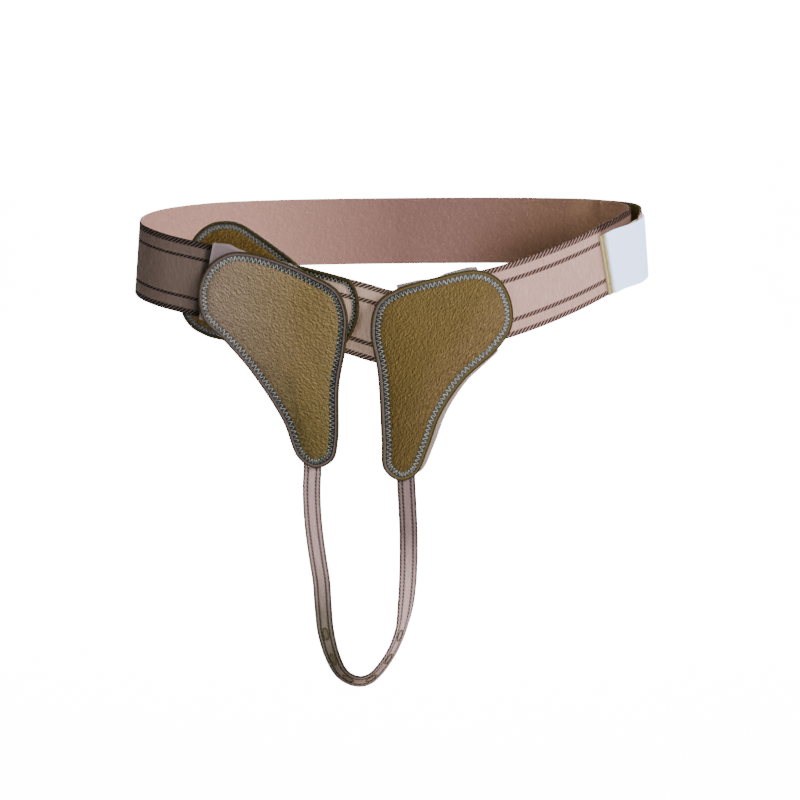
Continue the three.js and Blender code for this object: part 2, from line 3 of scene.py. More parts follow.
import bpy
import numpy as np
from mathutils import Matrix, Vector


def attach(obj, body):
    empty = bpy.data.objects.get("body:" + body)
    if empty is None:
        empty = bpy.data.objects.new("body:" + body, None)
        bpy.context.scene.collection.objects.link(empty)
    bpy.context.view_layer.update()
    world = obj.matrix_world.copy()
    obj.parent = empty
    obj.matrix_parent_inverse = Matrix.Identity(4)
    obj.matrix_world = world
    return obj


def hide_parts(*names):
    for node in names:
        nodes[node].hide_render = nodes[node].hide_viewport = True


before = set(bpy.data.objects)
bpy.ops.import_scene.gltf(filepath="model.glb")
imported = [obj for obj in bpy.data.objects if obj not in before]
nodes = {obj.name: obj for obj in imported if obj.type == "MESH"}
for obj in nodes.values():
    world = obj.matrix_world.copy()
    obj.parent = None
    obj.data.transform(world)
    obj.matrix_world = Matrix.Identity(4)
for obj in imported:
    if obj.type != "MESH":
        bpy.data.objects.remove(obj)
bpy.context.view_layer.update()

# Sizes in millimetres, in the part's own frame. Places along the band are counted from its lowest
# point in front, plus to the right.
MM = 0.001
UP = np.array([0.0, 0.0, 1.0])

# The loop of the band: half its width, its depth behind and in front, how far its front hangs down,
# and how much its upper edge leans in
HALF_WIDTH, BACK, FRONT, DROP = 186.0, 115.0, 86.5, 41.0
FLARE = math.radians(5)

# The two bands of webbing: the long one ends at the tip and the hip, the short one lies under the tip
WEBBING_WIDTH, WEBBING_THICKNESS = 53.0, 2.0
WEBBING_HALF = WEBBING_WIDTH / 2
TIP_AT, TIP_NOSE = -25.0, 16.0
HIP_START, HIP_LENGTH, HIP_CORNER, HIP_STEP = 234.0, 62.0, 26.0, 8.6
SHORT_START, SHORT_SUNK, SHORT_RISEN_AT = -128.0, 3.6, 6.0

# How far out the long band lies, as rows of (place along it, way out)
MAIN_OFFSETS = [(HIP_START, HIP_STEP), (HIP_START + 16, HIP_STEP), (HIP_START + 66, 2.5),
                (HIP_START + 106, 0)]

# Pads: how far out their backs lie, how much their faces rise to the middle, how far their feet bow
# back, and how far below the band's edge the bow starts
PAD_BACK, PAD_CROWN, PAD_BOW, BOW_BELOW_BAND = 2.9, 3.9, 6.0, 14.0

# Seams: near and far side in from an edge, step along it, height over the surface, thread radius
PAD_SEAM = (3.3, 6.6, 3.3, 2.3, 0.3)
PAD_UNDER_SEAM = (3.2, 6.4, 3.3, 2.05, 0.27)
FLAP_SEAM = (3.1, 5.6, 3.0, 0.9, 0.3)
TIP_SEAM = (2.9, 4.9, 3.0, 1.8, 0.3)

# Sleeves: half their length, and how far the outer and the inner face stand over the band's edge and
# out from its middle line
SLEEVE_HALF = 30.0
SLEEVE_OUTER, SLEEVE_INNER = (1.7, 2.3), (0.7, 1.3)

# Their tops, as rows of (place along the sleeve, how far it stands up)
LEFT_LIFTS = [(-30, 0.3), (-19, 1.8), (-10, 0.0), (0, -1.3), (30, -1.3)]
RIGHT_LIFTS = [(-30, 1.9), (-14, 1.9), (-2, 0.4), (10, 2.3), (24, 2.6), (30, 1.6)]

# The flap: its middle along the band, its size, and how far it lies in from the band's middle line
FLAP_AT, FLAP_LENGTH, FLAP_HEIGHT, FLAP_SUNK = -110.0, 104.0, 86.0, 6.1
FLAP_HEART = (-108.0, 2.0)

# The edging of the tip: how far it stands over the band's edge, and how far it runs along it
EDGING_OVER, EDGING_RUN = 0.9, 50.0

# The white tape at the right hip, with its places along the band, heights, cut corners and way out
# from the long band, and the hook tape that shows beside it and ends past the hip's start
TAB_START, TAB_END, TAB_RISE, TAB_FALL = 199.5, 274.0, 20.0, 26.8
TAB_THICKNESS, TAB_CORNER, TAB_CORNER_CUT, TAB_ON_MAIN = 1.2, 5.0, 4.0, 2.1
HOOKS_THICKNESS, HOOKS_SHOW, HOOKS_END, HOOKS_NARROWER = 1.0, 6.6, 20.0, 0.3

# The strap: half its width, its thickness, its drop, how far in from the pads' backs it starts, its
# largest turn, and the heights over the pads' feet where it is sewn on
STRAP_HALF, STRAP_THICKNESS, STRAP_DROP, STRAP_SUNK = 6.8, 1.2, 155.0, 1.1
STRAP_TURN = math.radians(58)
STRAP_END_RISES = (16, 8, 0)

# Its buttonholes: places from the middle of its length, then half length, half width and height over
# the strap's middle of the stitched ring and of the slit in it
HOLE_PLACES = (-44, -24, -6, 12, 32, 52)
HOLE, SLIT_IN_HOLE, HOLE_THREAD = (4.5, 2.0, 0.62), (3.6, 0.9, 0.66), 0.45

# Fineness of the meshes: steps along the band, rows across, spots along or round, and inner rings
BAND_STEP, TAB_STEP, HOOKS_STEP, EDGING_STEP = 3.0, 1.5, 1.3, 1.5
TAPE_ROWS, STRAP_ROWS, SLEEVE_ROWS = 16, 14, 16
STRAP_SPOTS, SLEEVE_SPOTS, PAD_SPOTS, FLAP_SPOTS, NOSE_SPOTS, HOLE_SPOTS = 240, 31, 300, 240, 60, 28
PAD_RINGS, FLAP_RINGS = 22, 10

# The course of the band seen from above, as rows of (right, back, down), in shares of the loop's sizes
COURSE = [
    (0.000, -1.000, 1.000), (0.151, -0.963, 0.890), (0.315, -0.869, 0.740),
    (0.462, -0.700, 0.628), (0.708, -0.238, 0.378), (0.946, 0.313, 0.070),
    (0.985, 0.487, 0.020), (0.969, 0.670, 0.000), (0.884, 0.841, 0.000),
    (0.752, 0.950, 0.000), (0.538, 1.000, 0.000), (-0.049, 0.968, 0.000),
    (-0.484, 0.870, 0.000), (-0.753, 0.713, 0.000), (-0.914, 0.452, 0.000),
    (-0.984, 0.174, 0.000), (-1.000, -0.092, 0.015), (-0.978, -0.326, 0.063),
    (-0.897, -0.498, 0.159), (-0.699, -0.650, 0.329), (-0.323, -0.852, 0.683),
    (-0.145, -0.947, 0.863),
]

# Pads: at is their place along the band, left and top are where their outlines start from there.
# The heart, where the face closes, and the outline's rows are (right, down), as shares of width and
# height. The strap hangs at a share of the width.
LEFT_PAD = {
    "name": "left", "at": -109.0, "width": 110.7, "height": 154.3, "left": -34.0, "top": 28.3,
    "wrap": 0.0, "heart": (0.60, 0.33), "strap": 0.761,
    "outline": [
        (0.000, 0.180), (0.070, 0.070), (0.190, 0.010), (0.300, 0.000), (0.520, 0.030),
        (0.770, 0.098), (0.930, 0.163), (0.996, 0.270), (0.990, 0.420), (0.950, 0.600),
        (0.941, 0.860), (0.905, 0.957), (0.785, 1.000), (0.672, 0.955), (0.571, 0.780),
        (0.358, 0.556), (0.177, 0.418), (0.031, 0.320),
    ],
}
RIGHT_PAD = {
    "name": "right", "at": 38.5, "width": 104.4, "height": 149.5, "left": -53.2, "top": 33.2,
    "wrap": 3.5, "heart": (0.45, 0.33), "strap": 0.238,
    "outline": [
        (0.000, 0.270), (0.049, 0.140), (0.182, 0.077), (0.458, 0.027), (0.747, 0.000),
        (0.900, 0.050), (0.985, 0.160), (0.984, 0.280), (0.872, 0.389), (0.637, 0.525),
        (0.471, 0.688), (0.387, 0.846), (0.304, 0.972), (0.188, 1.000), (0.078, 0.940),
        (0.062, 0.793), (0.042, 0.473),
    ],
}

# The flap, as rows of (right, lower edge, upper edge), in shares of its length and height
FLAP = [
    (-0.482, -0.080, 0.120), (-0.470, -0.220, 0.250), (-0.437, -0.325, 0.352),
    (-0.387, -0.390, 0.430), (-0.323, -0.435, 0.490), (-0.200, -0.465, 0.534),
    (-0.110, -0.464, 0.524), (-0.013, -0.450, 0.483), (0.178, -0.410, 0.392),
    (0.290, -0.375, 0.330), (0.400, -0.310, 0.260), (0.470, -0.200, 0.170),
    (0.500, -0.060, 0.080),
]

# The strap, as rows of (way from the left end to the right one, down, turn), in shares of the gap,
# the drop and the largest turn
STRAP_ROUTE = [
    (-0.012, 0.107, 0.00), (0.003, 0.265, 0.00), (0.047, 0.426, 0.03), (0.087, 0.545, 0.08),
    (0.104, 0.666, 0.15), (0.131, 0.787, 0.25), (0.204, 0.905, 0.45), (0.294, 0.976, 0.60),
    (0.392, 1.003, 0.68), (0.485, 1.008, 0.70), (0.578, 0.995, 0.76), (0.676, 0.958, 0.86),
    (0.792, 0.884, 0.88), (0.888, 0.799, 0.86), (0.958, 0.702, 0.75), (0.998, 0.593, 0.35),
    (1.021, 0.464, 0.10), (1.028, 0.334, 0.00), (1.023, 0.205, 0.00), (1.011, 0.096, 0.00),
]


# Curves

SPLINE_STEPS = 60
NEARBY = 0.5


def unit(v):
    return v / np.linalg.norm(v, axis=-1, keepdims=True)


def spline(rows, closed):
    """Dense points of a smooth curve through rows, and the length up to each of them."""
    rows = np.asarray(rows, float)
    if closed:
        ring = np.vstack([rows[-1], rows, rows[0], rows[1]])
    else:
        ring = np.vstack([2 * rows[0] - rows[1], rows, 2 * rows[-1] - rows[-2]])
    t = np.linspace(0, 1, SPLINE_STEPS, endpoint=False)[:, None]
    parts = []
    for a, b, c, d in zip(ring, ring[1:], ring[2:], ring[3:]):
        ab, bc, cd = (np.linalg.norm(q - p) ** 0.5 for p, q in ((a, b), (b, c), (c, d)))
        m1 = ((b - a) / ab - (c - a) / (ab + bc) + (c - b) / bc) * bc
        m2 = ((c - b) / bc - (d - b) / (bc + cd) + (d - c) / cd) * bc
        parts.append(b + m1 * t + (3 * (c - b) - 2 * m1 - m2) * t**2
                     + (2 * (b - c) + m1 + m2) * t**3)
    parts.append(rows[:1] if closed else rows[-1:])
    points = np.vstack(parts)
    steps = np.linalg.norm(np.diff(points, axis=0), axis=1)
    return points, np.concatenate([[0], np.cumsum(steps)])


def read(points, lengths, s):
    """The points at lengths s along a curve."""
    return np.stack([np.interp(s, lengths, points[:, k]) for k in range(points.shape[1])], -1)


def outline_through(rows, count):
    """A closed outline of count even steps that passes smoothly through rows."""
    points, lengths = spline(rows, True)
    return read(points, lengths, np.linspace(0, lengths[-1], count, endpoint=False))


def between(rows, at):
    """A value that passes smoothly through rows of (place, value)."""
    places, values = np.array(rows, float).T
    at = np.asarray(at, float)
    i = np.clip(np.searchsorted(places, at) - 1, 0, len(places) - 2)
    share = np.clip((at - places[i]) / (places[i + 1] - places[i]), 0, 1)
    return values[i] + (values[i + 1] - values[i]) * share * share * (3 - 2 * share)


course, course_at = spline(
    [(a * HALF_WIDTH, d * (BACK if d > 0 else FRONT), -z * DROP) for a, d, z in COURSE], True)
LOOP = course_at[-1]
course_ahead = read(course, course_at, np.mod(course_at + NEARBY, LOOP))
course_behind = read(course, course_at, np.mod(course_at - NEARBY, LOOP))
course_way = unit(course_ahead - course_behind)


def band_frame(s):
    """The spot at a place along the band, and the ways along, up and out there."""
    s = np.mod(s, LOOP)
    point = read(course, course_at, s)
    way = unit(read(course_way, course_at, s))
    level = unit(np.cross(way, UP))
    rise = unit(np.cross(level, way))
    up = rise * math.cos(FLARE) - level * math.sin(FLARE)
    out = level * math.cos(FLARE) + rise * math.sin(FLARE)
    return point, way, up, out


def on_band(s, height, offset):
    """The spot at a place along the band, a height over its middle and a way out."""
    s, height, offset = np.broadcast_arrays(s, height, offset)
    point, _, up, out = band_frame(s)
    return point + up * height[..., None] + out * offset[..., None]


def pad_place(pad):
    """A function that puts (across, up, out) of a pad in the part's frame."""
    point, _, _, out = (v[0] for v in band_frame(np.array([pad["at"]])))
    up = unit(UP - out * UP.dot(out))
    across = np.cross(up, out)
    origin = point + out * PAD_BACK
    bow_at = WEBBING_HALF + BOW_BELOW_BAND

    def place(x, y, z):
        x, y, z = np.broadcast_arrays(x, y, z)
        side = (x - pad["left"]) / pad["width"] * 2 - 1
        foot = np.maximum(0, -y - bow_at) / (pad["height"] - pad["top"] - bow_at)
        depth = z - pad["wrap"] * side**2 * (1 - np.minimum(foot, 1)) - PAD_BOW * foot**2
        return origin + across * x[..., None] + up * y[..., None] + out * depth[..., None]

    place.out = out
    return place


# Meshes

# Rounded edges of a ribbon, the rings across the back of a plate, and the curve of its crown
RIM_SHARES = np.array([0, 0.12, 0.35, 0.7, 1.0])
BACK_SHARES = (1.0, 0.6, 0.3, 0.06)
CROWN_POWER = 2.4

# Threads: sides, spots on each swing from side to side, and their middle's height in radii
THREAD_SIDES, SWING_SPOTS, THREAD_LIFT = 6, 3, 0.4
NORMAL_SPOTS = 720


def make(name, points, faces, materials, index=None, uv=None):
    """An object from points in millimetres, with smooth faces."""
    data = bpy.data.meshes.new(name)
    data.from_pydata((np.asarray(points, float).reshape(-1, 3) * MM).tolist(), [], faces)
    for material in materials:
        data.materials.append(material)
    if index is not None:
        data.polygons.foreach_set("material_index", np.asarray(index, np.int32))
    if uv is not None:
        layer = data.uv_layers.new(name="UVMap")
        spots = np.zeros(len(data.loops), np.int32)
        data.loops.foreach_get("vertex_index", spots)
        layer.data.foreach_set("uv", (np.asarray(uv, float).reshape(-1, 2)[spots] * MM).ravel())
    data.polygons.foreach_set("use_smooth", [True] * len(data.polygons))
    data.update()
    thing = bpy.data.objects.new(name, data)
    bpy.context.scene.collection.objects.link(thing)
    return thing


def strips(rows, columns, wrap=False):
    """Quads of a grid whose columns may close on themselves."""
    faces = []
    for i in range(rows - 1):
        for j in range(columns if wrap else columns - 1):
            k = (j + 1) % columns
            faces.append((i * columns + j, (i + 1) * columns + j,
                          (i + 1) * columns + k, i * columns + k))
    return faces


def ribbon(name, place, along, low, high, offset, thickness, materials, inner_rows=26):
    """A sheet with rounded edges; its first material faces out, its second faces in."""
    along = np.asarray(along, float)
    low, high, offset = (
        np.broadcast_to(np.asarray(v, float), along.shape) for v in (low, high, offset))
    rim = RIM_SHARES * thickness / 2
    shares = np.linspace(0, 1, inner_rows)[1:-1]
    width = high - low
    rise = np.concatenate([
        np.broadcast_to(rim, (len(along), len(rim))),
        shares * width[:, None],
        width[:, None] - rim[::-1]], 1)
    rise = np.sort(np.clip(rise, 0, width[:, None]), 1)
    edge = np.minimum(rise, width[:, None] - rise)
    full = np.clip(1 - edge / (thickness / 2), 0, 1)
    bulge = np.sqrt(1 - full**2) * thickness / 2
    height = low[:, None] + rise
    slope = np.arctan2(np.gradient(offset), np.gradient(along))[:, None]
    parts, uv = [], []
    for side, order in ((1, slice(None)), (-1, slice(None, None, -1))):
        h, b = height[:, order], side * bulge[:, order]
        a = along[:, None] - b * np.sin(slope)
        parts.append(place(a, h, offset[:, None] + b * np.cos(slope)))
        uv.append(np.stack([np.broadcast_to(along[:, None], h.shape), h], -1))
    points, uv = np.concatenate(parts, 1), np.concatenate(uv, 1)
    n, m = points.shape[:2]
    k = m // 2
    faces = [f[::-1] for f in strips(n, m, True)]
    index = [0 if j < k or j == m - 1 else 1 for _ in range(n - 1) for j in range(m)]
    for i, flip in ((0, 1), (n - 1, -1)):
        for j in range(k - 1):
            faces.append(tuple(i * m + q for q in (j, j + 1, m - 2 - j, m - 1 - j))[::flip])
            index.append(0)
    return make(name, points, faces, materials, index, uv)


def ring_normals(ring, closed):
    """The ways in from an outline that runs clockwise."""
    if closed:
        way = unit(np.roll(ring, -1, 0) - np.roll(ring, 1, 0))
    else:
        way = unit(np.gradient(ring, axis=0))
    return np.stack([way[:, 1], -way[:, 0]], -1)


def inset(ring, distance, closed=True):
    """The outline moved inwards."""
    return ring + ring_normals(ring, closed) * distance


def plate(name, outline, heart, place, profile, crown, back, materials, reaches):
    """A body with rows of (distance in from its edge, height, material), then a crown."""
    heart = np.asarray(heart)
    rings = [outline + (heart - outline) * share for share in BACK_SHARES]
    heights = [back] * len(rings)
    kinds = [profile[0][2]] * len(rings)
    for distance, height, kind in profile:
        rings.append(inset(outline, distance))
        heights.append(height)
        kinds.append(kind)
    last_ring, last_height, last_kind = rings[-1], heights[-1], kinds[-1]
    for i in range(1, reaches + 1):
        share = i / reaches
        rings.append(last_ring + (heart - last_ring) * share)
        heights.append(last_height + crown * (1 - (1 - share) ** CROWN_POWER))
        kinds.append(last_kind)
    points = [place(ring[:, 0], ring[:, 1], height) for ring, height in zip(rings, heights)]
    n = len(outline)
    index = [kind for kind in kinds[1:] for _ in range(n)]
    return make(name, points, strips(len(rings), n, True), materials, index, rings)


def tube(name, spots, normal, radius, material, closed=True, swing=None):
    """A thread through spots that lies on a surface with those normals, marked with its swing."""
    if closed:
        way = unit(np.roll(spots, -1, 0) - np.roll(spots, 1, 0))
    else:
        way = unit(np.gradient(spots, axis=0))
    side = unit(np.cross(way, normal))
    top = unit(np.cross(side, way))
    n, sides = len(spots), THREAD_SIDES
    turn = np.linspace(0, 2 * math.pi, sides, endpoint=False)[None, :, None]
    points = spots[:, None] + radius * (np.cos(turn) * side[:, None] + np.sin(turn) * top[:, None])
    faces = strips(n, sides, True)
    if closed:
        for j in range(sides):
            k = (j + 1) % sides
            faces.append(((n - 1) * sides + j, j, k, (n - 1) * sides + k))
    else:
        faces.append(tuple(range(sides)))
        faces.append(tuple((n - 1) * sides + j for j in range(sides))[::-1])
    uv = None
    if swing is not None:
        uv = np.broadcast_to(swing[:, None, None], (n, sides, 2))
    return make(name, points, faces, [material], uv=uv)


def zigzag(name, outline, place, seam, material, closed=True, shift=0.0):
    """A zigzag thread sewn between two distances in from an outline."""
    near, far, pitch, height, radius = seam
    line = np.vstack([outline, outline[:1]]) if closed else outline
    steps = np.linalg.norm(np.diff(line, axis=0), axis=1)
    lengths = np.concatenate([[0], np.cumsum(steps)])
    total = lengths[-1]
    count = int(total / pitch) * 2 * SWING_SPOTS
    if closed:
        s = (np.arange(count) / count * total + shift) % total
    else:
        s = np.linspace(0, total, count)
    swing = np.abs((np.arange(count) / SWING_SPOTS) % 2 - 1)
    swing = 0.5 - 0.5 * np.cos(swing * math.pi)
    even = read(line, lengths, np.linspace(0, total, NORMAL_SPOTS, endpoint=not closed))
    normals = ring_normals(even, closed)
    if closed:
        normals = np.vstack([normals, normals[:1]])
    normal = unit(read(normals, np.linspace(0, total, len(normals)), s))
    flat = read(line, lengths, s) + normal * (near + (far - near) * swing)[:, None]
    level = height + radius * THREAD_LIFT
    spots = place(flat[:, 0], flat[:, 1], level)
    above = place(flat[:, 0], flat[:, 1], level + 1)
    return tube(name, spots, unit(above - spots), radius, material, closed, swing)


# Materials

def srgb(code):
    values = [int(code[i:i + 2], 16) / 255 for i in (1, 3, 5)]
    return [v / 12.92 if v <= 0.04045 else ((v + 0.055) / 1.055) ** 2.4 for v in values] + [1.0]


class Finish:
    """A procedural material and short ways to add nodes to it."""

    def __init__(self, name, color, roughness, specular):
        self.material = bpy.data.materials.new(name)
        self.material.use_nodes = True
        self.tree = self.material.node_tree
        self.shader = self.tree.nodes["Principled BSDF"]
        self.shader.inputs["Base Color"].default_value = srgb(color)
        self.shader.inputs["Roughness"].default_value = roughness
        self.shader.inputs["Specular IOR Level"].default_value = specular
        self.material.diffuse_color = srgb(color)

    def node(self, kind, links=(), **settings):
        made = self.tree.nodes.new(kind)
        for key, value in settings.items():
            setattr(made, key, value)
        for socket, value in dict(links).items():
            target = made.inputs[socket]
            if hasattr(value, "node"):
                self.tree.links.new(value, target)
            else:
                target.default_value = value
        return made

    def math(self, operation, a, b=0.0, c=0.0):
        made = self.node("ShaderNodeMath", {0: a, 1: b, 2: c}, operation=operation)
        return made.outputs[0]

    def ramp(self, value, start, end, low=0.0, high=1.0):
        """Low where value is start, high where it is end, and level beyond them."""
        links = {"Value": value, "From Min": start, "From Max": end, "To Min": low, "To Max": high}
        return self.node("ShaderNodeMapRange", links).outputs[0]

    def band(self, value, low, high, soft):
        """1 where value lies between low and high, with soft edges."""
        up = self.ramp(value, low - soft, low + soft)
        down = self.ramp(value, high + soft, high - soft)
        return self.math("MULTIPLY", up, down)

    def noise(self, scale, detail, rough, vector):
        links = {"Scale": scale, "Detail": detail, "Roughness": rough, "Vector": vector}
        return self.node("ShaderNodeTexNoise", links).outputs[0]

    def mix(self, factor, a, b, blend="MIX"):
        made = self.node("ShaderNodeMix", data_type="RGBA", blend_type=blend)
        for socket, value in ((made.inputs[0], factor), (made.inputs[6], a), (made.inputs[7], b)):
            if hasattr(value, "node"):
                self.tree.links.new(value, socket)
            else:
                socket.default_value = srgb(value) if isinstance(value, str) else value
        return made.outputs[2]

    def tone(self, share, base, factor):
        """The base colour, multiplied by factor where share is 1."""
        return self.mix(share, base, [*factor, 1.0], "MULTIPLY")

    def relief(self, place, turn, scale, stretch, step):
        """Creases that run at a slope of turn degrees, and how much they fall along step, the way their
        painted light comes from.
        """
        ease = {"Detail": 1.5, "Roughness": 0.5, "Scale": scale, "Distortion": 0.6}
        turned = {"Rotation": (0, math.radians(turn), 0), "Scale": (stretch, 1, 1)}
        moved = self.node(
            "ShaderNodeVectorMath", {0: place, 1: [v * MM for v in step]}, operation="ADD")
        found = []
        for spot in (place, moved.outputs[0]):
            laid = self.node("ShaderNodeMapping", {"Vector": spot, **turned}, vector_type="TEXTURE")
            found.append(self.node("ShaderNodeTexNoise", {"Vector": laid.outputs[0], **ease}).outputs[0])
        return found[0], self.math("SUBTRACT", found[0], found[1])

    def light(self, base, slope, strength):
        """The base colour with painted light and shade, made lighter and darker by a slope."""
        sunk = self.math("MULTIPLY_ADD", slope, strength * 0.6, 1.0)
        shine = self.math("MAXIMUM", self.math("MULTIPLY_ADD", slope, strength, 1.0), sunk)
        return self.mix(1.0, base, shine, "MULTIPLY")

    def paint(self, socket, value):
        self.tree.links.new(value, self.shader.inputs[socket])

    def bump(self, height, strength, distance):
        links = {"Strength": strength, "Distance": distance, "Height": height}
        made = self.node("ShaderNodeBump", links)
        self.tree.links.new(made.outputs[0], self.shader.inputs["Normal"])

    def place(self):
        return self.node("ShaderNodeTexCoord").outputs["Object"]

    def uv(self):
        """The two numbers that make was given for each point."""
        coordinates = self.node("ShaderNodeUVMap", uv_map="UVMap").outputs[0]
        parts = self.node("ShaderNodeSeparateXYZ", {0: coordinates})
        return [self.math("MULTIPLY", parts.outputs[k], 1 / MM) for k in (0, 1)]


# Webbing: how far a stitch's stroke runs aside for each millimetre of height, how uneven it is, the
# step of the weave's ribs, and the share of their width that the sewn lines have at the left
SLANT, UNEVEN, RIB_STEP, NARROW_LINE = 1.1, 0.9, 0.9, 0.62


def striped(name, half, pale, dark, shade, edge, line_at, line_half, pitch, rim=0.7, spread=0.0, shadows=()):
    """Webbing with whip-stitched edges and two sewn lines. Its strokes grow longer to the right by
    spread, and its last argument has rows of (from, to, soft edge, factor) of painted shadow along it."""
    f = Finish(name, pale, 0.9, 0.15)
    u, v = f.uv()
    place = f.place()
    wobble = f.math("MULTIPLY", f.noise(420.0, 1.0, 0.5, place), UNEVEN)
    away = f.math("ABSOLUTE", v)
    onward = f.math("MAXIMUM", u, 0.0)
    longer = f.math("MULTIPLY", f.math("MULTIPLY", onward, onward), spread)
    slanted = f.math("SUBTRACT", f.math("SUBTRACT", u, longer), f.math("MULTIPLY", v, SLANT))
    phase = f.math("ADD", slanted, wobble)
    wave = f.math("SINE", f.math("MULTIPLY", phase, 2 * math.pi / pitch))
    stroke = f.ramp(wave, -0.95, -0.35)
    edge_mask = f.band(away, half - edge, half + 5, 0.5)
    reach = f.ramp(u, -170.0, -90.0, line_half * NARROW_LINE, line_half)
    from_line = f.math("ABSOLUTE", f.math("SUBTRACT", away, line_at))
    line_mask = f.ramp(f.math("SUBTRACT", from_line, reach), 0.35, -0.35)
    line_stroke = f.math("MULTIPLY", line_mask, f.math("MULTIPLY_ADD", stroke, 0.75, 0.25))
    edge_stroke = f.math("MULTIPLY", edge_mask, f.math("MULTIPLY_ADD", stroke, 0.92, 0.08))
    outermost = f.math("MULTIPLY", f.band(away, half - rim, half + 5, 0.2), 0.75)
    sewn = f.math("MAXIMUM", line_stroke, f.math("MAXIMUM", edge_stroke, outermost))
    fuzz = f.noise(2600.0, 3.0, 0.7, place)
    cloud = f.noise(60.0, 3.0, 0.6, place)
    base = f.mix(f.math("MULTIPLY", fuzz, 0.35), pale, "#8d7168")
    base = f.mix(f.math("MULTIPLY", cloud, 0.25), base, "#d9c2ba")
    # Painted light and shade on the weave's ribs
    _, slope = f.relief(place, 90, 480.0, 2.5, (0.6, 0, 0.2))
    base = f.light(base, slope, 0.9)
    color = shade(f, f.mix(f.math("MULTIPLY", sewn, 0.94), base, dark), place)
    for low, high, soft, factor in shadows:
        color = f.tone(f.band(u, low, high, soft), color, factor)
    f.paint("Base Color", color)
    rib = f.math("SINE", f.math("MULTIPLY", v, 2 * math.pi / RIB_STEP))
    height = f.math("ADD", f.math("MULTIPLY", fuzz, 0.8), f.math("MULTIPLY", rib, 0.06))
    height = f.math("ADD", height, f.math("MULTIPLY", sewn, 0.8))
    f.bump(height, 0.5, 0.0006)
    return f.material


def plain_cloth(name, color, other, grain, roughness=0.95, bump=0.35, shade=None, nap_light=0.0):
    """Cloth of two mixed colours, with painted light and shade on its nap as strong as its last
    argument.
    """
    f = Finish(name, color, roughness, 0.1)
    place = f.place()
    fuzz = f.noise(grain, 3.0, 0.7, place)
    base = f.mix(f.math("MULTIPLY", fuzz, 0.6), color, other)
    if nap_light:
        # Painted light and shade on the nap's creases
        base = f.light(base, f.relief(place, -30, 420.0, 1.5, (0.7, 0, 0.3))[1], nap_light)
    if shade:
        base = shade(f, base, place)
    f.paint("Base Color", base)
    f.bump(fuzz, bump, 0.0005)
    return f.material


def leather(name, color, dark, shade, turn, step, grain=860.0, depth=4.0):
    """Leather whose creases run at a slope of turn degrees, with painted light and shade on them as if
    lit along step.
    """
    f = Finish(name, color, 0.5, 0.12)
    place = f.place()
    crease, slope = f.relief(place, turn, grain, 1.7, step)
    wide = f.noise(60.0, 3.0, 0.6, place)
    base = f.mix(f.math("MULTIPLY", wide, 0.35), color, dark)
    # Painted light and shade on the creases
    base = f.light(base, slope, depth)
    if shade:
        base = shade(f, base, place)
    f.paint("Base Color", base)
    f.bump(crease, 0.8, 0.0012)
    return f.material


def hook_cloth():
    """Hook tape that shows as a cream, an olive and a cream line beside the tab."""
    f = Finish("hook tape", "#a8944f", 0.85, 0.1)
    u, _ = f.uv()
    place = f.place()
    fuzz = f.noise(1500.0, 3.0, 0.7, place)
    frayed = f.math("SUBTRACT", f.noise(260.0, 2.0, 0.5, place), 0.5)
    at = f.math("ADD", u, f.math("MULTIPLY", frayed, 3.5))
    olive = f.band(at, TAB_START - 4.6, TAB_START - 1.8, 1.0)
    base = f.mix(f.math("MULTIPLY", fuzz, 0.5), "#d8c79c", "#b09a66")
    f.paint("Base Color", f.mix(f.math("MULTIPLY", olive, 0.85), base, "#8f7d3a"))
    f.bump(fuzz, 0.8, 0.0008)
    return f.material


# Painted light and shade over the surfaces by place, and some wear on the thread. A factor multiplies
# red, green and blue.

RIGHT, UPWARD = 0, 2
PADS_GAP_AT = -35


def across(f, place, start, end, axis=RIGHT):
    """0 to 1 between two places along an axis, in millimetres."""
    value = f.node("ShaderNodeSeparateXYZ", {0: place}).outputs[axis]
    return f.ramp(value, start * MM, end * MM)


# Painted light over the middle of the front and painted shade over the left side
def webbing_shade(f, base, place):
    base = f.tone(across(f, place, 60, -20), base, (1.06, 1.24, 1.12))
    return f.tone(across(f, place, -60, -135), base, (0.22, 0.225, 0.243))


# Painted shade on the inner face, darker from the left towards the right and low down near the front
# band, painted light near the hip, and olive at the far right
def inner_shade(f, base, place):
    base = f.tone(across(f, place, -110, 8), base, (0.485, 0.48, 0.505))
    base = f.tone(across(f, place, 60, 125), base, (0.8, 0.82, 0.65))
    low_right = f.math("MULTIPLY", across(f, place, 45, 105), across(f, place, 18, -16, UPWARD))
    base = f.tone(low_right, base, (0.54, 0.55, 0.44))
    base = f.tone(across(f, place, 136, 152), base, (1.35, 1.4, 1.3))
    return f.mix(across(f, place, 180, 184), base, "#6d5d36")


# Painted shade towards the pad's foot and over its right part, and a painted sheen on its left side
def left_pad_shade(f, base, place):
    base = f.tone(across(f, place, -60, -120, UPWARD), base, (0.77, 0.8, 0.64))
    base = f.tone(across(f, place, -75, -50), base, (0.88, 0.88, 0.86))
    # Painted mauve sheen over the pad's left side
    spread = f.math("MULTIPLY", across(f, place, -62, -135), 0.85)
    return f.tone(spread, base, (1.55, 1.65, 3.3))


# Painted shade towards the pad's foot, and a painted highlight along its lower right flank
def right_pad_shade(f, base, place):
    base = f.tone(across(f, place, -60, -120, UPWARD), base, (0.66, 0.67, 0.48))
    outer = f.node("ShaderNodeVectorMath", {0: place, 1: (0.77, 0, -0.64)}, operation="DOT_PRODUCT")
    spread = f.ramp(outer.outputs[1], 60 * MM, 78 * MM)
    return f.tone(spread, base, (1.2, 1.17, 1.6))


